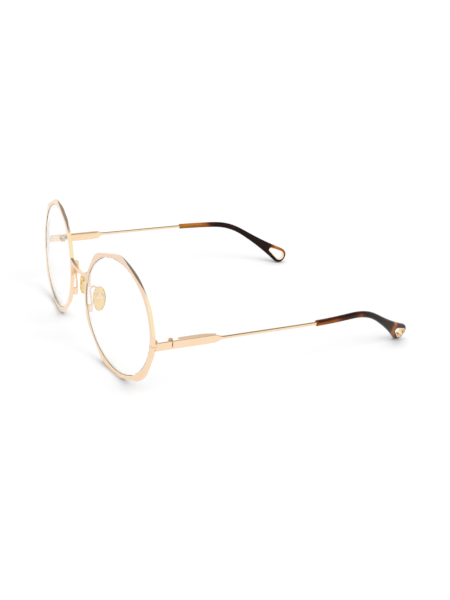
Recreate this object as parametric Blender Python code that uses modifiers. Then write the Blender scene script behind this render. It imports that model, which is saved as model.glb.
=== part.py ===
"""Round metal spectacle frame with clear lenses, open and standing on its rims and its temple tips.

The wearer's left is +X, the temples run back along +Y, and the floor is z = 0. Each side's pieces are
modelled once, on the left, in the frame of the rim, the hinge or the nose pad, and then mirrored.
"""
import math

import bmesh
import bpy
from mathutils import Euler, Matrix, Vector

# Rims and lenses
OPENING_HALF_HEIGHT = 0.02584
OPENING_STRETCH = 1.08
NOSE_HALF_GAP = 0.0102
RIM_WRAP = math.radians(6.49)
RIM_DEPTH = 0.0016
RIM_EDGE_BEVEL = 0.00012
RIM_FOOT_FLAT = 0.00008
# Each corner of the faceted outline: its angle from the temple side, how far it stands past the opening,
# and its rounding
RIM_CORNERS = (
    (6.5, 0.00225, 0.003),
    (43.5, 0.00345, 0.005),
    (85.5, 0.0037, 0.008),
    (130.5, 0.0036, 0.009),
    (170.5, 0.0030, 0.012),
    (208, 0.0023, 0.012),
    (250.5, 0.0033, 0.012),
    (278.5, 0.0024, 0.012),
    (316, 0.00425, 0.012),
    (348, 0.0022, 0.004),
)
# The taper that turns the facets' corners away toward the back: its crest there, its centre and its slope
RIM_TAPER_CREST = 0.0024
RIM_TAPER_CENTRE = (-0.00046, -0.00092)
RIM_TAPER_SLOPE = 1.3
GROOVE_DEPTH = 0.0005
GROOVE_HALF_MOUTH = 0.00045
LENS_SURFACE_RADIUS = 0.130
LENS_THICKNESS = 0.0012
LENS_BEVEL_HEIGHT = 0.00045
LENS_BEVEL_HALF_ROOT = 0.0004

# Closing blocks that pull the cut rim shut
BLOCK_DROP = 0.0015
BLOCK_HEIGHT = 0.0012
BLOCK_WIDTH = 0.0024
BLOCK_LENGTH = 0.0021
BLOCK_INSET = 0.0005
BLOCK_CLEARANCE = 0.00015
RIM_SLIT = 0.00012
FOOT_THICKNESS = 0.0006
CLOSING_SCREW_RADIUS = 0.0005
CLOSING_HEAD_RADIUS = 0.0009
SCREW_HEAD_HEIGHT = 0.00045

# Hinge
HINGE_INSET = 0.00035
HINGE_SETBACK = 0.00975
HINGE_DROP = 0.0019
TEMPLE_SPREAD = math.radians(1.15)
TEMPLE_FALL = math.radians(0.86)
KNUCKLE_RADIUS = 0.0012
KNUCKLE_HALF_STACK = 0.0015
SLIDER_HALF_HEIGHT = 0.00055
HINGE_PIN_RADIUS = 0.00055
HINGE_HEAD_RADIUS = 0.0009
MITRE_HALF_GAP = 0.00018
END_PIECE_OVERRUN = 0.0075

# Spring housing and what it holds
HOUSING_START = 0.0038
HOUSING_LENGTH = 0.0175
HOUSING_HALF_HEIGHT = 0.00145
HOUSING_INNER = 0.00125
HOUSING_TAPER_LENGTH = 0.0052
HOUSING_TAPER_INNER = 0.0001
HOUSING_ROUNDING = 0.0002
CHANNEL_RADIUS = 0.00075
CHANNEL_OFFSET = 0.00015
CHANNEL_FLOOR = 0.0003
NECK_ENTRY = 0.0010
STEM_RADIUS = 0.00028
STEM_SETBACK = 0.0076
STEM_HEAD_LENGTH = 0.0007
STOP_ENTRY = 0.0020
STOP_LENGTH = 0.0008
SPRING_TRAVEL = 0.0010
SPRING_TURNS = 5
SPRING_WIRE_RADIUS = 0.00012

# Temples
PLATE_THICKNESS = 0.0011
PLATE_HALF_HEIGHT = 0.0018
PLATE_END = 0.0198
TAPER_END = 0.0240
WIRE_RADIUS = 0.00075
SLEEVE_START = 0.0721
TURN_START = 0.0085
TURN_END = 0.0695
TURN_ANGLE = math.radians(23.2)
BEND_START = 0.0182
BEND_END = 0.0446
WIRE_END = 0.0495

# Temple tips, along the sleeve
SLEEVE_THICKNESS = 0.0028
SLEEVE_HALF_HEIGHT = 0.00131
FLARE_START = 0.0351
FLARE_HALF_HEIGHT = 0.00155
FLARE_POWER = 2.26
PADDLE_CENTRE = 0.0691
PADDLE_RADIUS = 0.00444
PADDLE_SQUARENESS = 2.8
PADDLE_THICKNESS = 0.00266
TWIST_START = 0.0295
TWIST_END = 0.0645
TWIST_ANGLE = math.radians(15.4)
BORE_FLOOR = 0.0020
EYE_CENTRE = 0.0007
EYE_WIDE_RADIUS = 0.00285
EYE_NARROW_RADIUS = 0.0013
EYE_SPAN = 0.0065
EYELET_WALL = 0.0004
EYELET_PROUD = 0.0001

# Bridge
BRIDGE_LIFT = 0.00768
BRIDGE_HEIGHT = 0.0014
BRIDGE_THICKNESS = 0.0012
BRIDGE_OVERLAP = 0.0023
BRIDGE_TOP_SAG = 0.0029
BRIDGE_UNDER_SAG = 0.0020
BRIDGE_LUG_INSET = 0.0031
BRIDGE_LUG_WIDTH = 0.0029
BRIDGE_LUG_BACK = -0.0001
BRIDGE_LUG_LIFT = 0.0084
BRIDGE_LUG_HEIGHT = 0.0058

# Nose pads and their arms
PAD_INSET = 0.0003
PAD_SETBACK = 0.0042
PAD_DROP = 0.0041
PAD_FLARE = math.radians(8.8)
PAD_SPLAY = math.radians(16.0)
PAD_HEIGHT = 0.0119
PAD_WIDTH = 0.0058
PAD_INNER_CROWN = 0.0012
PAD_EDGE = 0.0005
PAD_OUTER_CROWN = 0.0003
PAD_PIN_OFFSET = 0.0013
PAD_PIN_LIFT = 0.0016
PAD_PIN_RADIUS = 0.0003
BOX_NEAR = 0.0008
BOX_FAR = 0.0025
BOX_WALL = 0.00045
BOX_WIDTH = 0.0030
BOX_HEIGHT = 0.0021
PAD_LUG_HALF_THICKNESS = 0.0007
PAD_LUG_HALF_HEIGHT = 0.0006
ARM_WIRE_RADIUS = 0.0004
ARM_ROOT_DROP = 0.0061
ARM_ROOT_HEIGHT = 0.0036
ARM_ROOT_DEPTH = 0.0021
ARM_ROOT_WIDTH = 0.0010
ARM_ROOT_OUTSET = 0.0003
ARM_RISE_Y = -0.0001
ARM_APEX_LIFT = 0.0029

# Gaps
SEAT_GAP = 0.00025
PIN_GAP = 0.0001
KNUCKLE_GAP = 0.00015

MERGE_DISTANCE = 0.00001


# Scene and modelling helpers
def clear_scene():
    for old in list(bpy.data.objects):
        bpy.data.objects.remove(old, do_unlink=True)


def make_collection(name):
    collection = bpy.data.collections.new(name)
    bpy.context.scene.collection.children.link(collection)
    return collection


def make_material(name, colour, roughness, metallic=0.0, transmission=0.0):
    material = bpy.data.materials.new(name)
    material.use_nodes = True
    shader = material.node_tree.nodes["Principled BSDF"]
    shader.inputs["Base Color"].default_value = (*colour, 1.0)
    shader.inputs["Roughness"].default_value = roughness
    shader.inputs["Metallic"].default_value = metallic
    shader.inputs["Transmission Weight"].default_value = transmission
    return material


clear_scene()
PARTS = make_collection("spectacles")


def new_object(name, mesh):
    piece = bpy.data.objects.new(name, mesh)
    PARTS.objects.link(piece)
    return piece


def from_bmesh(name, shape):
    mesh = bpy.data.meshes.new(name)
    bmesh.ops.recalc_face_normals(shape, faces=shape.faces)
    shape.to_mesh(mesh)
    shape.free()
    return new_object(name, mesh)


def bake(piece):
    """Turn a curve, or a mesh with its modifiers, into a plain welded mesh under the same name."""
    bpy.context.view_layer.update()
    evaluated = piece.evaluated_get(bpy.context.evaluated_depsgraph_get())
    mesh = bpy.data.meshes.new_from_object(evaluated)
    shape = bmesh.new()
    shape.from_mesh(mesh)
    bmesh.ops.remove_doubles(shape, verts=shape.verts, dist=MERGE_DISTANCE)
    shape.to_mesh(mesh)
    shape.free()
    if piece.type == "MESH":
        piece.modifiers.clear()
        piece.data = mesh
        return piece
    name = piece.name
    bpy.data.objects.remove(piece, do_unlink=True)
    return new_object(name, mesh)


def combine(target, others, operation):
    for other in others:
        modifier = target.modifiers.new("combine", "BOOLEAN")
        modifier.operation = operation
        modifier.solver = "EXACT"
        modifier.object = other
    bake(target)
    for other in others:
        bpy.data.objects.remove(other, do_unlink=True)
    return target


def cut(target, *cutters):
    return combine(target, cutters, "DIFFERENCE")


def join(target, *others):
    return combine(target, others, "UNION")


def soften(piece, width, segments=1, angle=40):
    modifier = piece.modifiers.new("soften", "BEVEL")
    modifier.width = width
    modifier.segments = segments
    modifier.limit_method = "ANGLE"
    modifier.angle_limit = math.radians(angle)
    return bake(piece)


def block(name, low, high):
    shape = bmesh.new()
    bmesh.ops.create_cube(shape, size=1.0)
    low, high = Vector(low), Vector(high)
    bmesh.ops.scale(shape, vec=high - low, verts=shape.verts)
    bmesh.ops.translate(shape, vec=(high + low) / 2, verts=shape.verts)
    return from_bmesh(name, shape)


def rod(name, radius, start, end, segments=24):
    start, end = Vector(start), Vector(end)
    shape = bmesh.new()
    bmesh.ops.create_cone(shape, cap_ends=True, segments=segments, radius1=radius, radius2=radius,
                          depth=(end - start).length)
    turn = (end - start).to_track_quat("Z", "Y").to_matrix().to_4x4()
    bmesh.ops.transform(shape, matrix=Matrix.Translation((start + end) / 2) @ turn, verts=shape.verts)
    return from_bmesh(name, shape)


def plate(name, outline, thickness):
    """A flat outline in XY, extruded by its thickness along Z about z = 0."""
    curve = bpy.data.curves.new(name, "CURVE")
    curve.dimensions = "2D"
    curve.fill_mode = "BOTH"
    curve.extrude = thickness / 2
    spline = curve.splines.new("POLY")
    spline.points.add(len(outline) - 1)
    for point, place in zip(spline.points, outline):
        point.co = (place[0], place[1], 0.0, 1.0)
    spline.use_cyclic_u = True
    piece = bake(new_object(name, curve))
    shape = bmesh.new()
    shape.from_mesh(piece.data)
    bmesh.ops.recalc_face_normals(shape, faces=shape.faces)
    shape.to_mesh(piece.data)
    shape.free()
    return piece


def turned(name, profile, steps, axis="Z"):
    """A profile of (radius, height) points, from its top down its outer side, turned about its axis."""
    mesh = bpy.data.meshes.new(name)
    points = [(radius, 0.0, height) for radius, height in profile]
    mesh.from_pydata(points, [(i, i + 1) for i in range(len(points) - 1)], [])
    piece = new_object(name, mesh)
    screw = piece.modifiers.new("turn", "SCREW")
    screw.steps = steps
    screw.render_steps = steps
    screw.use_merge_vertices = True
    screw.merge_threshold = 0.00001
    bake(piece)
    if axis == "Y":
        piece.data.transform(Matrix.Rotation(-math.pi / 2, 4, "X"))
    return piece


def wire(name, points, radius, sides=2):
    """A round wire through its points, with filled ends; sides is the curve's bevel resolution."""
    curve = bpy.data.curves.new(name, "CURVE")
    curve.dimensions = "3D"
    curve.bevel_depth = radius
    curve.bevel_resolution = sides
    curve.use_fill_caps = True
    spline = curve.splines.new("POLY")
    spline.points.add(len(points) - 1)
    for point, place in zip(spline.points, points):
        point.co = (*place, 1.0)
    return bake(new_object(name, curve))


def loft(name, rings):
    """Closed rings of equal length, skinned one after the next and capped at both ends."""
    shape = bmesh.new()
    rows = [[shape.verts.new(point) for point in ring] for ring in rings]
    for row, after in zip(rows, rows[1:]):
        for i in range(len(row)):
            j = (i + 1) % len(row)
            shape.faces.new((row[i], row[j], after[j], after[i]))
    shape.faces.new(rows[0])
    shape.faces.new(rows[-1])
    return from_bmesh(name, shape)


def smooth_through(points, steps):
    """A smooth run through the route's own points (Catmull-Rom)."""
    points = [Vector(point) for point in points]
    padded = [2 * points[0] - points[1]] + points + [2 * points[-1] - points[-2]]
    run = []
    for i in range(1, len(padded) - 2):
        a, b, c, d = padded[i - 1:i + 3]
        for step in range(steps):
            t = step / steps
            run.append(0.5 * (2 * b + (c - a) * t + (2 * a - 5 * b + 4 * c - d) * t ** 2
                              + (3 * b - a - 3 * c + d) * t ** 3))
    return run + [points[-1]]


def smoothstep(value, start, end):
    t = min(max((value - start) / (end - start), 0.0), 1.0)
    return t * t * (3 - 2 * t)


# Outline helpers
def rounded_outline(corners, radii, steps):
    """Straight sides between the corners (anticlockwise), with each corner rounded by an arc."""
    outline = []
    for i, (corner, radius) in enumerate(zip(corners, radii)):
        before = (corners[i - 1] - corner).normalized()
        after = (corners[(i + 1) % len(corners)] - corner).normalized()
        half = math.acos(before.dot(after)) / 2
        centre = corner + (before + after).normalized() * (radius / math.sin(half))
        first = corner + before * (radius / math.tan(half)) - centre
        last = corner + after * (radius / math.tan(half)) - centre
        start = math.atan2(first.y, first.x)
        sweep = (math.atan2(last.y, last.x) - start) % (2 * math.pi)
        for step in range(steps + 1):
            angle = start + sweep * step / steps
            outline.append(centre + radius * Vector((math.cos(angle), math.sin(angle))))
    return outline


def rim_outline(extra=0.0):
    corners = []
    for degrees, crest, _ in RIM_CORNERS:
        reach = OPENING_HALF_HEIGHT + crest + extra
        angle = math.radians(degrees)
        corners.append(Vector((OPENING_STRETCH * reach * math.cos(angle), reach * math.sin(angle))))
    return rounded_outline(corners, [rounding + extra for _, _, rounding in RIM_CORNERS], 5)


def teardrop(wide, narrow, span, steps):
    """A wide circle about the origin and a narrow one at -X, with the tangents between them."""
    lean = math.acos((wide - narrow) / span)
    outline = []
    for step in range(steps + 1):
        angle = -(math.pi - lean) + 2 * (math.pi - lean) * step / steps
        outline.append((wide * math.cos(angle), wide * math.sin(angle)))
    for step in range(steps // 2 + 1):
        angle = (math.pi - lean) + 2 * lean * step / (steps // 2)
        outline.append((narrow * math.cos(angle) - span, narrow * math.sin(angle)))
    return outline


def rounded_section(half_thickness, half_height, radius, per_corner=4):
    """Points round a rectangle with rounded corners, as (across, up); a circle when all three agree."""
    points = []
    for quarter in range(4):
        across = (1, -1, -1, 1)[quarter] * (half_thickness - radius)
        up = (1, 1, -1, -1)[quarter] * (half_height - radius)
        for i in range(per_corner):
            angle = math.radians(90 * quarter + 90 * (i + 0.5) / per_corner)
            points.append((across + radius * math.cos(angle), up + radius * math.sin(angle)))
    return points


# Frames of the rim, the hinge and the nose pad, on the left side
OPENING_HALF_WIDTH = OPENING_STRETCH * OPENING_HALF_HEIGHT
RIM_OUTLINE = rim_outline()
RIM_CENTRE_X = NOSE_HALF_GAP + OPENING_HALF_WIDTH
RIM_CENTRE_Z = -min(point.y for point in RIM_OUTLINE) - RIM_FOOT_FLAT
RIM_PLACE = (Vector((RIM_CENTRE_X, 0.0, RIM_CENTRE_Z)), Euler((0.0, 0.0, RIM_WRAP)))
HINGE_X = RIM_CENTRE_X + OPENING_HALF_WIDTH * math.cos(RIM_WRAP) - HINGE_INSET
HINGE_Y = OPENING_HALF_WIDTH * math.sin(RIM_WRAP) + HINGE_SETBACK
HINGE_PLACE = (Vector((HINGE_X, HINGE_Y, RIM_CENTRE_Z - HINGE_DROP)), Euler((-TEMPLE_FALL, 0.0, -TEMPLE_SPREAD)))
PAD_CENTRE = Vector((NOSE_HALF_GAP - PAD_INSET, PAD_SETBACK, RIM_CENTRE_Z - PAD_DROP))
PAD_ROTATION = Euler((0.0, -PAD_FLARE, -PAD_SPLAY))
PAD_PIN = PAD_CENTRE + PAD_ROTATION.to_matrix() @ Vector((PAD_PIN_OFFSET, 0.0, PAD_PIN_LIFT))
PAD_PLACE = (PAD_PIN, PAD_ROTATION)


def frame_of(place):
    return Matrix.Translation(place[0]) @ place[1].to_matrix().to_4x4()


RIM_FRAME = frame_of(RIM_PLACE)
HINGE_FRAME = frame_of(HINGE_PLACE)
PAD_FRAME = frame_of(PAD_PLACE)


# Rim, lens and closing screw, in the rim's frame: X outward, Y back, Z up
BLOCK_X = OPENING_HALF_WIDTH - BLOCK_INSET
BLOCK_BACK = RIM_DEPTH + BLOCK_CLEARANCE + BLOCK_LENGTH
BLOCK_PIN_Y = BLOCK_BACK - BLOCK_LENGTH / 2
GROOVE_Y = RIM_DEPTH / 2


def make_rim():
    rim = plate("left_rim", RIM_OUTLINE, RIM_DEPTH)
    soften(rim, RIM_EDGE_BEVEL)
    rim.data.transform(Matrix.Translation((0.0, GROOVE_Y, 0.0)) @ Matrix.Rotation(math.pi / 2, 4, "X"))
    opening = turned("opening", [
        (0.0, 0.003),
        (OPENING_HALF_HEIGHT, 0.003),
        (OPENING_HALF_HEIGHT, GROOVE_HALF_MOUTH),
        (OPENING_HALF_HEIGHT + GROOVE_DEPTH, 0.0),
        (OPENING_HALF_HEIGHT, -GROOVE_HALF_MOUTH),
        (OPENING_HALF_HEIGHT, -0.003),
        (0.0, -0.003),
    ], 96, "Y")
    opening.data.transform(Matrix.Translation((0.0, GROOVE_Y, 0.0)) @ Matrix.Diagonal((OPENING_STRETCH, 1, 1, 1)))
    back = OPENING_HALF_HEIGHT + RIM_TAPER_CREST
    taper = turned("taper", [
        (0.0, 2 * RIM_DEPTH),
        (back - RIM_TAPER_SLOPE * RIM_DEPTH, 2 * RIM_DEPTH),
        (back + RIM_TAPER_SLOPE * 2 * RIM_DEPTH, -RIM_DEPTH),
        (0.0, -RIM_DEPTH),
    ], 96, "Y")
    taper.data.transform(Matrix.Translation((RIM_TAPER_CENTRE[0], 0.0, RIM_TAPER_CENTRE[1]))
                         @ Matrix.Diagonal((OPENING_STRETCH, 1, 1, 1)))
    combine(rim, [taper], "INTERSECT")
    floor = -RIM_CENTRE_Z
    cut(rim, opening, block("floor", (-OPENING_HALF_WIDTH, -RIM_DEPTH, floor - RIM_DEPTH),
                       (OPENING_HALF_WIDTH, 2 * RIM_DEPTH, floor)))

    half = BLOCK_HEIGHT + RIM_SLIT / 2
    foot_half = half - BLOCK_CLEARANCE
    foot = block("foot", (BLOCK_X + BLOCK_WIDTH / 4, RIM_DEPTH / 2, -BLOCK_DROP - foot_half),
                 (BLOCK_X + BLOCK_WIDTH, RIM_DEPTH + FOOT_THICKNESS, -BLOCK_DROP + foot_half))
    blocks = block("blocks", (BLOCK_X - BLOCK_WIDTH / 2, RIM_DEPTH + BLOCK_CLEARANCE, -BLOCK_DROP - half),
                   (BLOCK_X + BLOCK_WIDTH / 2, BLOCK_BACK, -BLOCK_DROP + half))
    soften(blocks, 0.00015)
    join(rim, foot, blocks)
    slit = block("slit", (BLOCK_X - BLOCK_WIDTH, -RIM_DEPTH, -BLOCK_DROP - RIM_SLIT / 2),
                 (BLOCK_X + 3 * BLOCK_WIDTH, BLOCK_BACK + RIM_DEPTH, -BLOCK_DROP + RIM_SLIT / 2))
    hole = rod("hole", CLOSING_SCREW_RADIUS + PIN_GAP, (BLOCK_X, BLOCK_PIN_Y, -BLOCK_DROP - half - 0.001),
               (BLOCK_X, BLOCK_PIN_Y, -BLOCK_DROP + half + 0.001))
    return cut(rim, slit, hole)


def sag(radius):
    return LENS_SURFACE_RADIUS - math.sqrt(LENS_SURFACE_RADIUS ** 2 - radius ** 2)


def make_lens():
    edge = OPENING_HALF_HEIGHT - SEAT_GAP
    half = LENS_THICKNESS / 2
    back = [(edge * i / 5, half - sag(edge) + sag(edge * i / 5)) for i in range(6)]
    front = [(radius, height - LENS_THICKNESS) for radius, height in reversed(back)]
    bevel = [(edge, LENS_BEVEL_HALF_ROOT), (edge + LENS_BEVEL_HEIGHT, 0.0), (edge, -LENS_BEVEL_HALF_ROOT)]
    lens = turned("left_lens", back + bevel + front, 48, "Y")
    lens.data.transform(Matrix.Translation((0.0, GROOVE_Y, 0.0)) @ Matrix.Diagonal((OPENING_STRETCH, 1, 1, 1)))
    return lens


def make_screw(name, shank, head, low, high):
    """A vertical screw: its shank from low to high, and its slotted head above."""
    top = high + PIN_GAP + SCREW_HEAD_HEIGHT
    screw = turned(name, [
        (0.0, top),
        (head - 0.0001, top),
        (head, top - 0.0001),
        (head, high + PIN_GAP),
        (shank, high + PIN_GAP),
        (shank, low + 0.0001),
        (shank - 0.0001, low),
        (0.0, low),
    ], 20)
    slot = block("slot", (-2 * head, -0.0001, top - 0.0002), (2 * head, 0.0001, top + 0.001))
    return cut(screw, slot)


def make_closing_screw():
    half = BLOCK_HEIGHT + RIM_SLIT / 2
    screw = make_screw("left_closing_screw", CLOSING_SCREW_RADIUS, CLOSING_HEAD_RADIUS,
                       -BLOCK_DROP - half, -BLOCK_DROP + half)
    screw.data.transform(Matrix.Translation((BLOCK_X, BLOCK_PIN_Y, 0.0)))
    return screw


# Hinge pieces, in the hinge's frame: X outward, Y back along the temple, Z up the hinge axis
PLATE_INNER = KNUCKLE_RADIUS + PIN_GAP
PLATE_MIDDLE = PLATE_INNER + PLATE_THICKNESS / 2
PLATE_OUTER = PLATE_INNER + PLATE_THICKNESS
HOUSING_END = HOUSING_START + HOUSING_LENGTH
NECK_END = HOUSING_START + NECK_ENTRY
STOP_START = HOUSING_START + STOP_ENTRY
STEM_END = HOUSING_END - STEM_SETBACK
CHANNEL_END = STEM_END + STEM_HEAD_LENGTH + CHANNEL_FLOOR


def make_end_piece():
    reach = HINGE_SETBACK + END_PIECE_OVERRUN
    bar = block("left_end_piece", (PLATE_INNER, -reach, -PLATE_HALF_HEIGHT),
                (PLATE_OUTER, -MITRE_HALF_GAP, PLATE_HALF_HEIGHT))
    soften(bar, 0.00015)
    outline = [(PLATE_INNER + 0.0003, -MITRE_HALF_GAP), (PLATE_INNER + 0.0003, -KNUCKLE_RADIUS)]
    for step in range(15):
        angle = math.radians(270 - 280 * step / 14)
        outline.append((KNUCKLE_RADIUS * math.cos(angle), KNUCKLE_RADIUS * math.sin(angle)))
    leaf = plate("leaf", outline, 2 * KNUCKLE_HALF_STACK)
    join(bar, leaf)
    slot_half = SLIDER_HALF_HEIGHT + KNUCKLE_GAP
    slot = block("slot", (-0.003, -KNUCKLE_RADIUS - KNUCKLE_GAP, -slot_half), (PLATE_INNER, 0.003, slot_half))
    hole = rod("hole", HINGE_PIN_RADIUS + PIN_GAP, (0, 0, -0.003), (0, 0, 0.003), 20)
    seat = block("seat", (0.0, -2 * reach, -OPENING_HALF_HEIGHT),
                 (2 * OPENING_HALF_WIDTH, RIM_DEPTH + FOOT_THICKNESS + SEAT_GAP, OPENING_HALF_HEIGHT))
    seat.data.transform(HINGE_FRAME.inverted() @ RIM_FRAME)
    return cut(bar, slot, hole, seat)


def make_hinge_screw():
    return make_screw("left_hinge_screw", HINGE_PIN_RADIUS, HINGE_HEAD_RADIUS,
                      -KNUCKLE_HALF_STACK, KNUCKLE_HALF_STACK)


def make_slider():
    slider = rod("left_hinge_slider", KNUCKLE_RADIUS, (0, 0, -SLIDER_HALF_HEIGHT), (0, 0, SLIDER_HALF_HEIGHT))
    axis_x = -CHANNEL_OFFSET
    neck = rod("neck", SLIDER_HALF_HEIGHT - 0.00003, (axis_x, 0.0009, 0), (axis_x, NECK_END, 0))
    stem = rod("stem", STEM_RADIUS, (axis_x, NECK_END - 0.0003, 0), (axis_x, STEM_END + 0.0001, 0), 12)
    head = rod("head", CHANNEL_RADIUS - PIN_GAP, (axis_x, STEM_END, 0), (axis_x, STEM_END + STEM_HEAD_LENGTH, 0), 16)
    join(slider, neck, stem, head)
    return cut(slider, rod("hole", HINGE_PIN_RADIUS + PIN_GAP, (0, 0, -0.003), (0, 0, 0.003), 20))


def make_housing():
    outer = PLATE_INNER - SEAT_GAP
    outline = rounded_outline([
        Vector((-HOUSING_INNER, HOUSING_START)),
        Vector((outer, HOUSING_START)),
        Vector((outer, HOUSING_END)),
        Vector((HOUSING_TAPER_INNER, HOUSING_END)),
        Vector((-HOUSING_INNER, HOUSING_END - HOUSING_TAPER_LENGTH)),
    ], [HOUSING_ROUNDING] * 5, 2)
    housing = plate("left_spring_housing", outline, 2 * HOUSING_HALF_HEIGHT)
    soften(housing, 0.00015)
    channel = rod("channel", CHANNEL_RADIUS, (-CHANNEL_OFFSET, HOUSING_START - 0.001, 0),
                  (-CHANNEL_OFFSET, CHANNEL_END, 0))
    return cut(housing, channel)


def make_spring_stop():
    radius = CHANNEL_RADIUS - PIN_GAP
    stop = rod("left_spring_stop", radius, (-CHANNEL_OFFSET, STOP_START, 0),
               (-CHANNEL_OFFSET, STOP_START + STOP_LENGTH, 0), 20)
    hole = rod("hole", STEM_RADIUS + PIN_GAP, (-CHANNEL_OFFSET, STOP_START - 0.001, 0),
               (-CHANNEL_OFFSET, STOP_START + STOP_LENGTH + 0.001, 0), 12)
    return cut(stop, hole)


def make_spring():
    radius = (STEM_RADIUS + CHANNEL_RADIUS) / 2
    first = STOP_START + STOP_LENGTH + PIN_GAP + SPRING_WIRE_RADIUS
    last = STEM_END - SPRING_TRAVEL - PIN_GAP - SPRING_WIRE_RADIUS
    count = SPRING_TURNS * 12
    points = []
    for i in range(count + 1):
        angle = 2 * math.pi * SPRING_TURNS * i / count
        points.append((-CHANNEL_OFFSET + radius * math.cos(angle), first + (last - first) * i / count,
                       radius * math.sin(angle)))
    return wire("left_hinge_spring", points, SPRING_WIRE_RADIUS, 1)


# The temple's centre line, in the hinge's frame
def heading(length, bend):
    """The direction of the temple at a length from the hinge, as a turn inward and a fall."""
    along = length - SLEEVE_START
    turn = TURN_ANGLE * min(max((along + TURN_START) / (TURN_END + TURN_START), 0.0), 1.0)
    fall = bend * smoothstep(along, BEND_START, BEND_END)
    return turn, fall


def temple_frames(lengths, bend):
    """Frames on the centre line: Y along it, X square to it and level, Z up."""
    frames = []
    place = Vector((PLATE_MIDDLE, 0.0, 0.0))
    done = 0.0
    for length in lengths:
        steps = max(1, math.ceil((length - done) / 0.0005))
        for step in range(steps):
            turn, fall = heading(done + (length - done) * (step + 0.5) / steps, bend)
            forward = Euler((-fall, 0.0, turn)).to_matrix() @ Vector((0.0, 1.0, 0.0))
            place = place + forward * ((length - done) / steps)
        done = length
        turn, fall = heading(length, bend)
        frames.append(Matrix.Translation(place) @ Euler((-fall, 0.0, turn)).to_matrix().to_4x4())
    return frames


def tip_half_height(span):
    """Half the tip's height at a length along the sleeve: an even sleeve, a flare and a round end."""
    if span <= FLARE_START:
        return SLEEVE_HALF_HEIGHT + (FLARE_HALF_HEIGHT - SLEEVE_HALF_HEIGHT) * span / FLARE_START
    if span <= PADDLE_CENTRE:
        share = (span - FLARE_START) / (PADDLE_CENTRE - FLARE_START)
        return FLARE_HALF_HEIGHT + (PADDLE_RADIUS - FLARE_HALF_HEIGHT) * share ** FLARE_POWER
    share = (span - PADDLE_CENTRE) / PADDLE_RADIUS
    return PADDLE_RADIUS * (1 - share ** PADDLE_SQUARENESS) ** (1 / PADDLE_SQUARENESS)


def tip_frames(spans, bend):
    """Frames on the tip's centre line, twisted about it toward the paddle."""
    frames = temple_frames([SLEEVE_START + span for span in spans], bend)
    return [frame @ Matrix.Rotation(TWIST_ANGLE * smoothstep(span, TWIST_START, TWIST_END), 4, "Y")
            for span, frame in zip(spans, frames)]


def tip_rings(bend):
    """Sections of the tip, closer together round its bend and its end."""
    spans = [0.0, 0.0002]
    spans += [BEND_START * share for share in (0.35, 0.7)]
    spans += [BEND_START + (BEND_END - BEND_START) * i / 10 for i in range(11)]
    spans += [BEND_END + (PADDLE_CENTRE - BEND_END) * i / 5 for i in range(1, 6)]
    spans += [PADDLE_CENTRE + PADDLE_RADIUS * math.sin(math.radians(angle)) for angle in (16, 32, 46, 58, 69, 80)]
    rings = []
    for span, frame in zip(spans, tip_frames(spans, bend)):
        half_thickness = (SLEEVE_THICKNESS + (PADDLE_THICKNESS - SLEEVE_THICKNESS) * span / PADDLE_CENTRE) / 2
        half_height = tip_half_height(span)
        if span == 0.0:
            half_thickness -= 0.00015
            half_height -= 0.00015
        radius = min(half_thickness, half_height) * 0.9
        section = rounded_section(half_thickness, half_height, radius)
        rings.append([frame @ Vector((across, 0.0, up)) for across, up in section])
    return rings


def solve_bend():
    """The bend at which the paddle's edge just touches the floor that the rims stand on."""
    low, high = math.radians(10), math.radians(50)
    for _ in range(24):
        bend = (low + high) / 2
        lowest = min((HINGE_FRAME @ point).z for ring in tip_rings(bend) for point in ring)
        if lowest > 0.0:
            low = bend
        else:
            high = bend
    return bend


BEND = solve_bend()


def make_temple_bar():
    spans = [MITRE_HALF_GAP, MITRE_HALF_GAP + 0.00015]
    spans += [PLATE_END / 3, PLATE_END]
    spans += [PLATE_END + (TAPER_END - PLATE_END) * i / 4 for i in range(1, 5)]
    spans += [SLEEVE_START - TURN_START, SLEEVE_START]
    spans += [SLEEVE_START + BEND_START * share for share in (0.35, 0.7)]
    spans += [SLEEVE_START + BEND_START + (WIRE_END - BEND_START) * i / 12 for i in range(13)]
    rings = []
    for i, (span, frame) in enumerate(zip(spans, temple_frames(spans, BEND))):
        blend = smoothstep(span, PLATE_END, TAPER_END)
        half_thickness = PLATE_THICKNESS / 2 + (WIRE_RADIUS - PLATE_THICKNESS / 2) * blend
        half_height = PLATE_HALF_HEIGHT + (WIRE_RADIUS - PLATE_HALF_HEIGHT) * blend
        radius = 0.0002 + (WIRE_RADIUS - 0.0002) * blend
        if i == 0:
            half_thickness -= 0.0001
            half_height -= 0.0001
        radius = min(radius, half_thickness, half_height)
        section = rounded_section(half_thickness, half_height, radius)
        rings.append([frame @ Vector((across, 0.0, up)) for across, up in section])
    return loft("left_temple_bar", rings)


def make_temple_tip():
    tip = loft("left_temple_tip", tip_rings(BEND))
    depth = WIRE_END + BORE_FLOOR
    bore_spans = [-BORE_FLOOR] + [depth * i / 20 for i in range(21)]
    bore_frames = temple_frames([SLEEVE_START + span for span in bore_spans], BEND)
    radius = WIRE_RADIUS + PIN_GAP
    section = rounded_section(radius, radius, radius)
    bore = loft("bore", [[frame @ Vector((across, 0.0, up)) for across, up in section] for frame in bore_frames])
    return cut(tip, bore, make_eye("eye", PIN_GAP, 2 * PADDLE_RADIUS))


def make_eye(name, extra, depth):
    """A teardrop prism through the paddle, its narrow end toward the hinge."""
    outline = teardrop(EYE_WIDE_RADIUS + extra, EYE_NARROW_RADIUS + extra, EYE_SPAN, 16)
    eye = plate(name, outline, depth)
    across = Matrix(((0, 0, 1, 0), (1, 0, 0, 0), (0, 1, 0, 0), (0, 0, 0, 1)))
    eye.data.transform(tip_frames([PADDLE_CENTRE + EYE_CENTRE], BEND)[0] @ across)
    return eye


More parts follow.
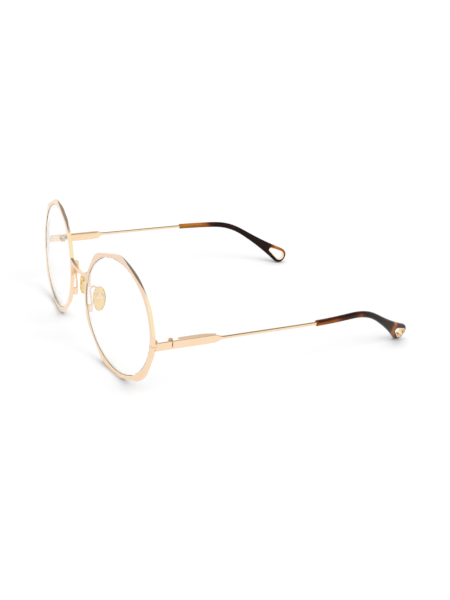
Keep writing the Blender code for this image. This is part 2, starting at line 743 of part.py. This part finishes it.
def make_eyelet():
    eyelet = make_eye("left_tip_eyelet", 0.0, PADDLE_THICKNESS + 2 * EYELET_PROUD)
    return cut(eyelet, make_eye("hole", -EYELET_WALL, 2 * PADDLE_RADIUS))


# Bridge, across both sides
def make_bridge():
    reach = NOSE_HALF_GAP + BRIDGE_OVERLAP
    middle = RIM_CENTRE_Z + BRIDGE_LIFT
    count = 10
    top = []
    under = []
    for i in range(-count, count + 1):
        share = i / count
        top.append((reach * share, middle + BRIDGE_TOP_SAG * share ** 2))
        under.append((reach * share, middle - BRIDGE_HEIGHT + BRIDGE_UNDER_SAG * share ** 2))
    strap = plate("bridge", under + top[::-1], BRIDGE_THICKNESS)
    front = (RIM_FRAME @ Vector((-OPENING_HALF_WIDTH - BRIDGE_OVERLAP, 0.0, 0.0))).y
    strap.data.transform(Matrix.Translation((0.0, front + BRIDGE_THICKNESS / 2, 0.0))
                         @ Matrix.Rotation(math.pi / 2, 4, "X"))
    soften(strap, 0.00015)
    lugs = []
    cutters = []
    lug_top = RIM_CENTRE_Z + BRIDGE_LUG_LIFT
    near = NOSE_HALF_GAP - BRIDGE_LUG_INSET
    for side in (1, -1):
        inner, outer = sorted((side * near, side * (near + BRIDGE_LUG_WIDTH)))
        lug = block("lug", (inner, front + BRIDGE_THICKNESS / 2, lug_top - BRIDGE_LUG_HEIGHT),
                    (outer, BRIDGE_LUG_BACK, lug_top))
        lugs.append(soften(lug, 0.0001))
        space = plate("rim_space", rim_outline(SEAT_GAP), 2 * (RIM_DEPTH + SEAT_GAP))
        space.data.transform(RIM_FRAME @ Matrix.Rotation(math.pi / 2, 4, "X"))
        if side < 0:
            space.data.transform(Matrix.Diagonal((-1, 1, 1, 1)))
            space.data.flip_normals()
        cutters.append(space)
    join(strap, *lugs)
    return cut(strap, *cutters)


# Nose pad pieces, in the pad pin's frame: X outward, Y along the pin, Z up the pad
def make_pad():
    rings = []
    levels = (
        (-PAD_INNER_CROWN - PAD_PIN_OFFSET, 0.35),
        (-PAD_INNER_CROWN * 0.85 - PAD_PIN_OFFSET, 0.66),
        (-PAD_INNER_CROWN * 0.45 - PAD_PIN_OFFSET, 0.90),
        (-PAD_EDGE / 2 + 0.0001 - PAD_PIN_OFFSET, 1.0),
        (PAD_EDGE / 2 - PAD_PIN_OFFSET, 0.99),
        (PAD_OUTER_CROWN + 0.00025 - PAD_PIN_OFFSET, 0.80),
        (PAD_OUTER_CROWN + 0.0003 - PAD_PIN_OFFSET, 0.45),
    )
    for depth, share in levels:
        ring = []
        for i in range(24):
            angle = 2 * math.pi * i / 24
            narrow = 1.0 + 0.10 * math.sin(angle)
            ring.append((depth, share * PAD_WIDTH / 2 * narrow * math.cos(angle),
                         share * PAD_HEIGHT / 2 * math.sin(angle) - PAD_PIN_LIFT))
        rings.append(ring)
    pad = loft("left_nose_pad", rings)
    lug = block("lug", (-PAD_PIN_OFFSET + 0.0002, -PAD_LUG_HALF_THICKNESS, -PAD_LUG_HALF_HEIGHT),
                (PAD_LUG_HALF_HEIGHT, PAD_LUG_HALF_THICKNESS, PAD_LUG_HALF_HEIGHT))
    join(pad, lug)
    return cut(pad, rod("hole", PAD_PIN_RADIUS + PIN_GAP, (0, -0.004, 0), (0, 0.004, 0), 12))


def make_pad_box():
    near = BOX_NEAR - PAD_PIN_OFFSET
    far = BOX_FAR - PAD_PIN_OFFSET
    box = block("left_pad_box", (near, -BOX_WIDTH / 2, -BOX_HEIGHT / 2), (far, BOX_WIDTH / 2, BOX_HEIGHT / 2))
    soften(box, 0.0001)
    inner = PAD_LUG_HALF_THICKNESS + KNUCKLE_GAP
    slot = block("slot", (near - 0.001, -inner, -0.003), (far - BOX_WALL, inner, 0.003))
    hole = rod("hole", PAD_PIN_RADIUS + PIN_GAP, (0, -0.004, 0), (0, 0.004, 0), 12)
    return cut(box, slot, hole)


def make_pad_screw():
    screw = make_screw("left_pad_screw", PAD_PIN_RADIUS, 0.0006, -BOX_WIDTH / 2, BOX_WIDTH / 2)
    screw.data.transform(Matrix.Rotation(-math.pi / 2, 4, "X"))
    return screw


def make_pad_arm():
    """The arm's root and wire, in the frame of the whole front."""
    root_x = NOSE_HALF_GAP + ARM_ROOT_OUTSET
    root_top = RIM_CENTRE_Z - ARM_ROOT_DROP
    root_bottom = root_top - ARM_ROOT_HEIGHT
    apex = RIM_CENTRE_Z + ARM_APEX_LIFT
    root_front = (RIM_FRAME @ Vector(((root_x - RIM_CENTRE_X) / math.cos(RIM_WRAP), RIM_DEPTH + SEAT_GAP, 0.0))).y
    root_back = root_front + ARM_ROOT_DEPTH
    root = block("root", (root_x - ARM_ROOT_WIDTH / 2, root_front, root_bottom),
                 (root_x + ARM_ROOT_WIDTH / 2, root_back, root_top))
    soften(root, 0.00015)
    seat = BOX_FAR - PAD_PIN_OFFSET + SEAT_GAP + ARM_WIRE_RADIUS
    end = PAD_FRAME @ Vector((seat, 0.0, -0.0008))
    over = PAD_FRAME @ Vector((seat, 0.0, 0.0012))
    route = [
        (root_x, root_back - ARM_WIRE_RADIUS, root_bottom + 0.0012),
        (root_x, root_back - ARM_WIRE_RADIUS, root_top + 0.0004),
        (NOSE_HALF_GAP, ARM_RISE_Y, (root_top + apex) / 2),
        (NOSE_HALF_GAP, ARM_RISE_Y - 0.0002, apex - 0.0017),
        (NOSE_HALF_GAP + 0.0002, ARM_RISE_Y + 0.0009, apex),
        (NOSE_HALF_GAP + 0.0010, ARM_RISE_Y + 0.0025, apex - 0.0012),
        over,
        end,
    ]
    arm = wire("left_pad_arm", smooth_through(route, 4), ARM_WIRE_RADIUS, 2)
    return join(arm, root)


# Assembly
def shade(piece):
    piece.data.shade_smooth()
    piece.data.set_sharp_from_angle(angle=math.radians(32))


def make_empty(name, place, parent):
    empty = bpy.data.objects.new(name, None)
    PARTS.objects.link(empty)
    empty.location = place[0]
    empty.rotation_euler = place[1]
    empty.parent = parent
    return empty


def mirror_place(place):
    location, rotation = place
    return (Vector((-location.x, location.y, location.z)), Euler((rotation.x, -rotation.y, -rotation.z)))


def mirror_piece(piece, name):
    mesh = piece.data.copy()
    mesh.transform(Matrix.Diagonal((-1, 1, 1, 1)))
    mesh.flip_normals()
    return new_object(name, mesh)


GOLD = (0.90, 0.70, 0.50)
MATERIALS = {
    "rim": ("rim_gold", GOLD, 0.2, 1.0, 0.0),
    "lens": ("lens_clear", (0.98, 0.99, 0.99), 0.02, 0.0, 1.0),
    "closing_screw": ("closing_screw_gold", GOLD, 0.3, 1.0, 0.0),
    "end_piece": ("end_piece_gold", GOLD, 0.22, 1.0, 0.0),
    "hinge_screw": ("hinge_screw_gold", GOLD, 0.3, 1.0, 0.0),
    "hinge_slider": ("hinge_slider_steel", (0.62, 0.60, 0.57), 0.3, 1.0, 0.0),
    "spring_housing": ("spring_housing_gold", GOLD, 0.24, 1.0, 0.0),
    "spring_stop": ("spring_stop_steel", (0.60, 0.59, 0.56), 0.35, 1.0, 0.0),
    "hinge_spring": ("hinge_spring_steel", (0.55, 0.55, 0.55), 0.3, 1.0, 0.0),
    "temple_bar": ("temple_bar_gold", GOLD, 0.22, 1.0, 0.0),
    "temple_tip": ("temple_tip_tortoise", (0.16, 0.06, 0.02), 0.15, 0.0, 0.0),
    "tip_eyelet": ("tip_eyelet_gold", GOLD, 0.2, 1.0, 0.0),
    "pad_arm": ("pad_arm_gold", GOLD, 0.22, 1.0, 0.0),
    "pad_box": ("pad_box_gold", GOLD, 0.25, 1.0, 0.0),
    "pad_screw": ("pad_screw_gold", GOLD, 0.3, 1.0, 0.0),
    "nose_pad": ("nose_pad_honey", (0.93, 0.72, 0.42), 0.2, 0.0, 0.5),
    "bridge": ("bridge_gold", GOLD, 0.2, 1.0, 0.0),
}


def main():
    root = make_empty("front_centre", (Vector(), Euler()), None)
    hinges = {"left": make_empty("left_hinge_axis", HINGE_PLACE, root),
              "right": make_empty("right_hinge_axis", mirror_place(HINGE_PLACE), root)}
    pins = {"left": make_empty("left_pad_pin_axis", PAD_PLACE, root),
            "right": make_empty("right_pad_pin_axis", mirror_place(PAD_PLACE), root)}
    rest = (Vector(), Euler())

    pieces = [
        (make_rim(), "rim", RIM_PLACE, None),
        (make_lens(), "lens", RIM_PLACE, None),
        (make_closing_screw(), "closing_screw", RIM_PLACE, None),
        (make_end_piece(), "end_piece", rest, hinges),
        (make_hinge_screw(), "hinge_screw", rest, hinges),
        (make_slider(), "hinge_slider", rest, hinges),
        (make_housing(), "spring_housing", rest, hinges),
        (make_spring_stop(), "spring_stop", rest, hinges),
        (make_spring(), "hinge_spring", rest, hinges),
        (make_temple_bar(), "temple_bar", rest, hinges),
        (make_temple_tip(), "temple_tip", rest, hinges),
        (make_eyelet(), "tip_eyelet", rest, hinges),
        (make_pad_arm(), "pad_arm", rest, None),
        (make_pad(), "nose_pad", rest, pins),
        (make_pad_box(), "pad_box", rest, pins),
        (make_pad_screw(), "pad_screw", rest, pins),
    ]
    placed = []
    for piece, kind, place, carriers in pieces:
        material = make_material(*MATERIALS[kind])
        piece.data.materials.clear()
        piece.data.materials.append(material)
        shade(piece)
        twin = mirror_piece(piece, "right_" + kind)
        for side, item, spot in (("left", piece, place), ("right", twin, mirror_place(place))):
            item.location = spot[0]
            item.rotation_euler = spot[1]
            item.parent = carriers[side] if carriers else root
            placed.append(item)
    bridge = make_bridge()
    bridge.data.materials.clear()
    bridge.data.materials.append(make_material(*MATERIALS["bridge"]))
    shade(bridge)
    bridge.parent = root
    placed.append(bridge)

    bpy.context.view_layer.update()
    corners = [item.matrix_world @ vertex.co for item in placed for vertex in item.data.vertices]
    root.location.y = -(min(c.y for c in corners) + max(c.y for c in corners)) / 2
    root.location.z = -min(c.z for c in corners)
    bpy.context.view_layer.update()


main()
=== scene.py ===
"""Round metal spectacles on a white table: finish of every surface, studio light and camera."""
import math

import bmesh
import bpy
from mathutils import Matrix, Vector
from mathutils.bvhtree import BVHTree


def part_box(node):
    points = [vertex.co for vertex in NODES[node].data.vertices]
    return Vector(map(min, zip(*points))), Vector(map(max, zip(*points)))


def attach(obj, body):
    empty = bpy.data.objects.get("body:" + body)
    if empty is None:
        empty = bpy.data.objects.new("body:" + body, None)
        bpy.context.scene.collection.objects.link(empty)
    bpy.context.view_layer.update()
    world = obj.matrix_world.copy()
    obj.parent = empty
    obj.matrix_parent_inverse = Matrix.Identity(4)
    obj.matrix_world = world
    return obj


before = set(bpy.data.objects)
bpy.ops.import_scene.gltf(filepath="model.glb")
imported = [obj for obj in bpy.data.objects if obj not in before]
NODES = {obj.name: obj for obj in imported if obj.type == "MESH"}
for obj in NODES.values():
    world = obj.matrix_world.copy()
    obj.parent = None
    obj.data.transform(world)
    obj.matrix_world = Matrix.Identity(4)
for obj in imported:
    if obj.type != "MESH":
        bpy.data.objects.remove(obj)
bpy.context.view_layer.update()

SIDES = ("left", "right")

# Camera, as solved from the photograph: a place, the point it looks at and its roll
FRAME_HEIGHT_PX = 600
CAMERA_PLACE = Vector((0.34296, -0.20846, 0.18502))
CAMERA_TARGET = Vector((0.0, -0.01703, 0.01914))
CAMERA_ROLL = math.radians(4.24)
FOCAL_PX = 845.67
SHIFT_LEFT_PX = 33.69
SHIFT_UP_PX = 14.65
SENSOR_MM = 36.0
CLIP_START = 0.01

# Studio light
WHITE = (1.0, 1.0, 1.0)
WORLD_LEVEL = (0.58, 0.58, 0.58)
KEY_FROM = Vector((0.70, 0.42, 0.85))
KEY_ANGLE = math.radians(38)
KEY_POWER = 1.82

# Dark screen that the metal mirrors: where it stands, and its tone by the cosine of the angle to its middle
SCREEN_FROM = Vector((-0.15, 0.46, 0.875))
SCREEN_TONES = (
    (0.30, (1.0, 1.04, 1.0)), (0.41, (1.0, 1.14, 0.98)), (0.53, (0.99, 1.04, 0.86)),
    (0.68, (0.80, 0.74, 0.74)), (0.84, (0.42, 0.41, 0.40)), (0.96, (0.25, 0.26, 0.255)),
)

# Floor: its lit colour, its own glow, the contact shade by openness, and the cards that the metal mirrors in it
FLOOR_SIZE = 6.0
FLOOR_COLOUR = (0.34, 0.338, 0.343)
FLOOR_UNEVENNESS = 0.99
FLOOR_GLOW = 0.69
CONTACT_REACH = 0.012
CONTACT_SAMPLES = 16
CONTACT_TONES = ((0.42, (0.26, 0.26, 0.27)), (0.90, WHITE))
MIRRORED_IN_FRONT = (0.87, 0.87, 0.97)
MIRRORED_BESIDE = (0.99, 0.95, 0.90)
CARD_FRONT_Y = -0.13
CARD_BESIDE_Y = -0.07

# Surfaces: shading of the solids, and solder in their seams
SMOOTH_BELOW_DEGREES = 50
WELD_DISTANCE = 0.000002
SOLDER_WELD = 0.000005
SOLDER_SINK = 0.00006
END_PIECE_SEAM = 0.001
NARROW_SEAM = 0.0005

# Tortoise pattern: share of amber along each tip, and the colour of each share
LEFT_AMBER = (
    (0.0, 0.82), (0.15, 0.78), (0.28, 0.56), (0.40, 0.44), (0.47, 0.14), (0.60, 0.08),
    (0.70, 0.42), (0.77, 0.16), (0.83, 0.70), (0.89, 0.36), (1.0, 0.14),
)
RIGHT_AMBER = (
    (0.0, 0.78), (0.24, 0.80), (0.31, 0.50), (0.38, 0.24), (0.50, 0.36),
    (0.60, 0.12), (0.80, 0.10), (0.90, 0.26), (1.0, 0.40),
)
TORTOISE_COLOURS = (
    (0.0, (0.008, 0.003, 0.002)), (0.38, (0.016, 0.004, 0.0025)), (0.55, (0.07, 0.010, 0.002)),
    (0.74, (0.36, 0.10, 0.010)), (1.0, (0.55, 0.22, 0.025)),
)
EYE_LOW_Z = 0.0035
EYE_HIGH_Z = 0.0085


# Node graph helpers
class Graph:
    """A material's node tree, with short calls for adding and joining nodes."""

    def __init__(self, name, world=None):
        self.owner = world or bpy.data.materials.new(name)
        self.owner.use_nodes = True
        self.tree = self.owner.node_tree
        self.tree.nodes.clear()

    def add(self, kind, inputs=None, **settings):
        node = self.tree.nodes.new(kind)
        for key, value in settings.items():
            setattr(node, key, value)
        for key, value in (inputs or {}).items():
            self.feed(node.inputs[key], value)
        return node

    def feed(self, socket, value):
        if isinstance(value, bpy.types.NodeSocket):
            self.tree.links.new(value, socket)
        elif isinstance(value, bpy.types.Node):
            self.tree.links.new(value.outputs[0], socket)
        elif isinstance(value, (tuple, list)) and len(value) == 3 and socket.type == "RGBA":
            socket.default_value = (*value, 1.0)
        else:
            socket.default_value = value

    def noise(self, place, scale, detail=2.0, roughness=0.5, distortion=0.0):
        return self.add("ShaderNodeTexNoise", {
            "Vector": place, "Scale": scale, "Detail": detail, "Roughness": roughness, "Distortion": distortion,
        })

    def ramp(self, value, *stops, interpolation="LINEAR"):
        node = self.add("ShaderNodeValToRGB", {"Fac": value})
        node.color_ramp.interpolation = interpolation
        elements = node.color_ramp.elements
        while len(elements) < len(stops):
            elements.new(0.5)
        for element, (position, colour) in zip(elements, stops):
            element.position = position
            element.color = (*colour, 1.0) if isinstance(colour, tuple) else (colour, colour, colour, 1.0)
        return node

    def math(self, operation, *values, clamp=False):
        node = self.add("ShaderNodeMath", operation=operation, use_clamp=clamp)
        for socket, value in zip(node.inputs, values):
            self.feed(socket, value)
        return node

    def map_range(self, value, low, high, to_low=0.0, to_high=1.0):
        return self.add("ShaderNodeMapRange", {
            "Value": value, "From Min": low, "From Max": high, "To Min": to_low, "To Max": to_high,
        })

    def mix(self, share, first, second, blend="MIX"):
        node = self.add("ShaderNodeMix", data_type="RGBA", blend_type=blend)
        for socket, value in zip((node.inputs[0], node.inputs[6], node.inputs[7]), (share, first, second)):
            self.feed(socket, value)
        return node.outputs[2]

    def bump(self, height, strength, distance):
        return self.add("ShaderNodeBump", {"Height": height, "Strength": strength, "Distance": distance})

    def place(self, scale=(1.0, 1.0, 1.0)):
        coordinates = self.add("ShaderNodeTexCoord")
        return self.add("ShaderNodeMapping", {"Vector": coordinates.outputs["Object"], "Scale": scale})

    def part_of(self, vector, axis):
        return self.add("ShaderNodeSeparateXYZ", {"Vector": vector}).outputs[axis]

    def surface(self, shader):
        self.add("ShaderNodeOutputMaterial", {"Surface": shader})
        return self.owner

    def principled(self, **inputs):
        named = {key.replace("_", " "): value for key, value in inputs.items()}
        return self.add("ShaderNodeBsdfPrincipled", named)


# Materials
def gold_material(name, colour, roughness, marked):
    """Pale gold plating: slow changes of tone, fine polishing marks and an uneven gloss."""
    graph = Graph(name)
    place = graph.place()
    tone = graph.noise(place, 90.0, 3.0)
    warm = tuple(part * share for part, share in zip(colour, (1.0, 0.965, 0.90)))
    base = graph.mix(graph.map_range(tone, 0.35, 0.65), colour, warm)
    marks = graph.noise(graph.place((1.0, 1.0, 9.0)), 1400.0, 4.0, 0.6)
    gloss = graph.map_range(graph.noise(place, 420.0, 3.0), 0.3, 0.7, roughness * 0.8, roughness * 1.25)
    shader = graph.principled(
        Base_Color=base,
        Metallic=1.0,
        Roughness=gloss,
        Normal=graph.bump(marks, marked, 0.00002),
    )
    return graph.surface(shader)


def steel_material(name, level):
    """Turned or drawn steel with fine lines across its length."""
    graph = Graph(name)
    turned = graph.noise(graph.place((1.0, 1.0, 14.0)), 900.0, 3.0, 0.6)
    light = (level, level, level * 0.97)
    dark = (level * 0.85, level * 0.85, level * 0.84)
    shader = graph.principled(
        Base_Color=graph.mix(graph.map_range(turned, 0.3, 0.7), light, dark),
        Metallic=1.0,
        Roughness=graph.map_range(turned, 0.3, 0.7, 0.22, 0.38),
        Normal=graph.bump(turned, 0.2, 0.00002),
    )
    return graph.surface(shader)


def lens_material():
    """Clear lens with the weak reflections of a coated one, its edge faces plain see-through without reflection;
    light passes to the floor.
    """
    graph = Graph("lens_clear")
    haze = graph.noise(graph.place(), 160.0, 4.0)
    glass = graph.principled(
        Base_Color=(0.998, 1.0, 0.999),
        Roughness=graph.map_range(haze, 0.4, 0.8, 0.0, 0.008),
        IOR=1.3,
        Transmission_Weight=1.0,
    )
    clear = graph.add("ShaderNodeBsdfTransparent", {"Color": (0.985, 0.99, 0.99)})
    facing = graph.part_of(graph.add("ShaderNodeTexCoord").outputs["Normal"], "Y")
    polished = graph.math("GREATER_THAN", graph.math("ABSOLUTE", facing), 0.8)
    edged = graph.add("ShaderNodeMixShader", {0: polished, 1: clear, 2: glass})
    path = graph.add("ShaderNodeLightPath")
    shader = graph.add("ShaderNodeMixShader", {0: path.outputs["Is Shadow Ray"], 1: edged, 2: clear})
    return graph.surface(shader)


def tortoise_material(side, amber, crown, eye_top):
    """Clouded acetate: amber along the tip by its stops, more or less of it on top and above the eye."""
    graph = Graph(side + "_tortoise")
    coordinates = graph.add("ShaderNodeTexCoord").outputs
    upward = graph.part_of(coordinates["Normal"], "Z")
    low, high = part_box(side + "_temple_tip")
    share = graph.map_range(graph.part_of(coordinates["Object"], "Y"), low.y, high.y)
    height = graph.map_range(graph.part_of(coordinates["Object"], "Z"), EYE_LOW_Z, EYE_HIGH_Z)
    above_eye = graph.math("MULTIPLY", height, graph.map_range(share, 0.80, 0.90, 0.0, eye_top))
    on_top = graph.math("MULTIPLY", upward, graph.map_range(share, 0.25, 0.85, *crown))
    clouds = graph.noise(graph.place((1.0, 0.45, 1.0)), 105.0, 1.5, 0.5, 0.4)
    fine = graph.noise(graph.place((1.0, 0.4, 1.0)), 420.0, 2.0, 0.5)
    mixed = graph.math("ADD", graph.ramp(share, *amber), graph.map_range(clouds, 0.32, 0.68, -0.20, 0.20))
    mixed = graph.math("ADD", mixed, on_top)
    mixed = graph.math("ADD", mixed, above_eye)
    mixed = graph.math("ADD", mixed, graph.map_range(fine, 0.3, 0.7, -0.05, 0.05), clamp=True)
    shader = graph.principled(
        Base_Color=graph.ramp(mixed, *TORTOISE_COLOURS),
        Roughness=graph.map_range(fine, 0.3, 0.7, 0.16, 0.24),
        IOR=1.38,
        Specular_IOR_Level=0.22,
        Normal=graph.bump(fine, 0.04, 0.00005),
    )
    return graph.surface(shader)


def honey_material():
    """Translucent honey silicone, slightly clouded and unevenly glossy."""
    graph = Graph("pad_honey")
    place = graph.place()
    cloud = graph.noise(place, 260.0, 2.0)
    colour = graph.mix(graph.map_range(cloud, 0.3, 0.7), (1.0, 0.72, 0.30), (1.0, 0.80, 0.39))
    shader = graph.principled(
        Base_Color=colour,
        Roughness=graph.map_range(graph.noise(place, 900.0), 0.3, 0.7, 0.10, 0.16),
        IOR=1.41,
        Transmission_Weight=0.86,
    )
    return graph.surface(shader)


MATERIALS = {
    "gold": gold_material("plated_gold", (0.965, 0.755, 0.55), roughness=0.13, marked=0.12),
    "screw": gold_material("screw_gold", (0.90, 0.66, 0.47), roughness=0.20, marked=0.22),
    "steel": steel_material("turned_steel", 0.60),
    "spring": steel_material("drawn_steel", 0.52),
    "lens": lens_material(),
    "left_tortoise": tortoise_material("left", LEFT_AMBER, crown=(-0.30, 0.05), eye_top=0.0),
    "right_tortoise": tortoise_material("right", RIGHT_AMBER, crown=(0.05, 0.10), eye_top=0.60),
    "honey": honey_material(),
}

FINISHES = {
    "rim": "gold", "end_piece": "gold", "spring_housing": "gold", "temple_bar": "gold", "tip_eyelet": "gold",
    "pad_arm": "gold", "pad_box": "gold", "closing_screw": "screw", "hinge_screw": "screw", "pad_screw": "screw",
    "hinge_slider": "steel", "spring_stop": "steel", "hinge_spring": "spring", "lens": "lens", "nose_pad": "honey",
}


# Smooth shading
def smoothing_group(name, degrees):
    """Welds a solid's triangles and shades them smooth up to an angle between faces."""
    group = bpy.data.node_groups.new(name, "GeometryNodeTree")
    group.interface.new_socket("Geometry", in_out="INPUT", socket_type="NodeSocketGeometry")
    group.interface.new_socket("Geometry", in_out="OUTPUT", socket_type="NodeSocketGeometry")
    nodes, links = group.nodes, group.links
    source = nodes.new("NodeGroupInput")
    weld = nodes.new("GeometryNodeMergeByDistance")
    weld.inputs["Distance"].default_value = WELD_DISTANCE
    faces = nodes.new("GeometryNodeSetShadeSmooth")
    faces.domain = "FACE"
    angle = nodes.new("GeometryNodeInputMeshEdgeAngle")
    flat = nodes.new("ShaderNodeMath")
    flat.operation = "LESS_THAN"
    flat.inputs[1].default_value = math.radians(degrees)
    edges = nodes.new("GeometryNodeSetShadeSmooth")
    edges.domain = "EDGE"
    result = nodes.new("NodeGroupOutput")
    links.new(source.outputs[0], weld.inputs["Geometry"])
    links.new(weld.outputs[0], faces.inputs["Geometry"])
    links.new(angle.outputs["Unsigned Angle"], flat.inputs[0])
    links.new(faces.outputs[0], edges.inputs["Geometry"])
    links.new(flat.outputs[0], edges.inputs["Shade Smooth"])
    links.new(edges.outputs[0], result.inputs[0])
    return group


SMOOTHING = smoothing_group("smooth_by_angle", SMOOTH_BELOW_DEGREES)


def shade_smooth(piece):
    smooth = piece.modifiers.new("smooth", "NODES")
    smooth.node_group = SMOOTHING


def dress(node, material):
    piece = NODES[node]
    piece.data.materials.clear()
    piece.data.materials.append(material)
    shade_smooth(piece)
    weigh = piece.modifiers.new("weigh", "WEIGHTED_NORMAL")
    weigh.keep_sharp = True


for kind, finish in FINISHES.items():
    for side in SIDES:
        dress(side + "_" + kind, MATERIALS[finish])
dress("bridge", MATERIALS["gold"])
for side in SIDES:
    dress(side + "_temple_tip", MATERIALS[side + "_tortoise"])
    NODES[side + "_lens"].visible_shadow = False


# Solder in the seams of the soldered seats
def solder(part, carrier, reach):
    """A plug of gold solder between a part's seat and the node that carries it."""
    surface = NODES[carrier].data
    tree = BVHTree.FromPolygons([point.co for point in surface.vertices],
                                [face.vertices for face in surface.polygons])
    plug = bmesh.new()
    for vertex in NODES[part].data.vertices:
        foot, _, _, distance = tree.find_nearest(vertex.co)
        if distance < reach:
            plug.verts.new(vertex.co)
            plug.verts.new(foot + (foot - vertex.co).normalized() * SOLDER_SINK)
    bmesh.ops.remove_doubles(plug, verts=plug.verts, dist=SOLDER_WELD)
    hull = bmesh.ops.convex_hull(plug, input=plug.verts)
    bmesh.ops.delete(plug, geom=list(set(hull["geom_interior"] + hull["geom_unused"])), context="VERTS")
    mesh = bpy.data.meshes.new("solder_" + part + "_" + carrier)
    plug.to_mesh(mesh)
    plug.free()
    mesh.materials.append(MATERIALS["gold"])
    piece = bpy.data.objects.new(mesh.name, mesh)
    bpy.context.scene.collection.objects.link(piece)
    shade_smooth(piece)
    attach(piece, "front")


for side in SIDES:
    solder(side + "_end_piece", side + "_rim", END_PIECE_SEAM)
    solder(side + "_pad_arm", side + "_rim", NARROW_SEAM)
    solder("bridge", side + "_rim", NARROW_SEAM)


# Floor, backdrop and light
def make_floor():
    """White floor with contact shade; to the metal it shows a cool card in front and a warm one beside."""
    mesh = bpy.data.meshes.new("floor")
    half = FLOOR_SIZE / 2
    corners = [(-half, -half, 0.0), (half, -half, 0.0), (half, half, 0.0), (-half, half, 0.0)]
    mesh.from_pydata(corners, [], [(0, 1, 2, 3)])
    floor = bpy.data.objects.new("floor", mesh)
    bpy.context.scene.collection.objects.link(floor)
    graph = Graph("floor_white")
    grain = graph.noise(graph.place(), 40.0, 2.0)
    uneven = tuple(part * FLOOR_UNEVENNESS for part in FLOOR_COLOUR)
    tint = graph.mix(graph.map_range(grain, 0.3, 0.7), FLOOR_COLOUR, uneven)
    lit = graph.add("ShaderNodeBsdfDiffuse", {"Color": tint})
    openness = graph.add("ShaderNodeAmbientOcclusion", {"Distance": CONTACT_REACH}, samples=CONTACT_SAMPLES)
    contact = graph.ramp(openness.outputs["AO"], *CONTACT_TONES)
    path = graph.add("ShaderNodeLightPath").outputs
    seen = graph.math("MAXIMUM", path["Is Camera Ray"], path["Is Glossy Ray"])
    seen = graph.math("MAXIMUM", seen, path["Is Transmission Ray"])
    mirrored = graph.math("SUBTRACT", path["Is Glossy Ray"], path["Is Transmission Ray"], clamp=True)
    beside = graph.map_range(graph.part_of(graph.place(), "Y"), CARD_FRONT_Y, CARD_BESIDE_Y)
    tone = graph.mix(mirrored, contact, graph.mix(beside, MIRRORED_IN_FRONT, MIRRORED_BESIDE))
    glow = graph.add("ShaderNodeEmission", {"Color": tone, "Strength": graph.math("MULTIPLY", seen, FLOOR_GLOW)})
    mesh.materials.append(graph.surface(graph.add("ShaderNodeAddShader", {0: lit, 1: glow})))


def make_world():
    """White all round to the eye, with a dark screen behind and above for the metal to mirror."""
    world = bpy.data.worlds.new("studio")
    bpy.context.scene.world = world
    graph = Graph("studio", world)
    direction = graph.add("ShaderNodeTexCoord").outputs["Generated"]
    toward = graph.add("ShaderNodeVectorMath", {0: direction, 1: SCREEN_FROM.normalized()}, operation="DOT_PRODUCT")
    mirrored = graph.ramp(toward.outputs["Value"], *SCREEN_TONES)
    path = graph.add("ShaderNodeLightPath").outputs
    seen = graph.math("MAXIMUM", path["Is Camera Ray"], path["Is Transmission Ray"])
    colour = graph.mix(seen, graph.mix(path["Is Glossy Ray"], WORLD_LEVEL, mirrored), WHITE)
    light = graph.add("ShaderNodeBackground", {"Color": colour})
    graph.add("ShaderNodeOutputWorld", {"Surface": light})


def make_key():
    """One wide, soft lamp from behind and to the wearer's left, seen by no mirror or glass."""
    lamp = bpy.data.lights.new("key", "SUN")
    lamp.angle = KEY_ANGLE
    lamp.energy = KEY_POWER
    key = bpy.data.objects.new("key", lamp)
    key.rotation_euler = KEY_FROM.to_track_quat("Z", "Y").to_euler()
    key.visible_glossy = False
    key.visible_transmission = False
    bpy.context.scene.collection.objects.link(key)


def make_camera():
    """The photograph's camera, for a frame that is 600 pixels high."""
    lens = bpy.data.cameras.new("camera")
    lens.sensor_width = SENSOR_MM
    lens.lens = FOCAL_PX / FRAME_HEIGHT_PX * SENSOR_MM
    lens.shift_x = SHIFT_LEFT_PX / FRAME_HEIGHT_PX
    lens.shift_y = -SHIFT_UP_PX / FRAME_HEIGHT_PX
    lens.clip_start = CLIP_START
    camera = bpy.data.objects.new("camera", lens)
    turn = (CAMERA_TARGET - CAMERA_PLACE).to_track_quat("-Z", "Y").to_matrix()
    camera.matrix_world = (Matrix.Translation(CAMERA_PLACE) @ turn.to_4x4()
                           @ Matrix.Rotation(CAMERA_ROLL, 4, "Z"))
    bpy.context.scene.collection.objects.link(camera)
    bpy.context.scene.camera = camera


make_floor()
make_world()
make_key()
make_camera()
bpy.context.scene.view_settings.view_transform = "Standard"
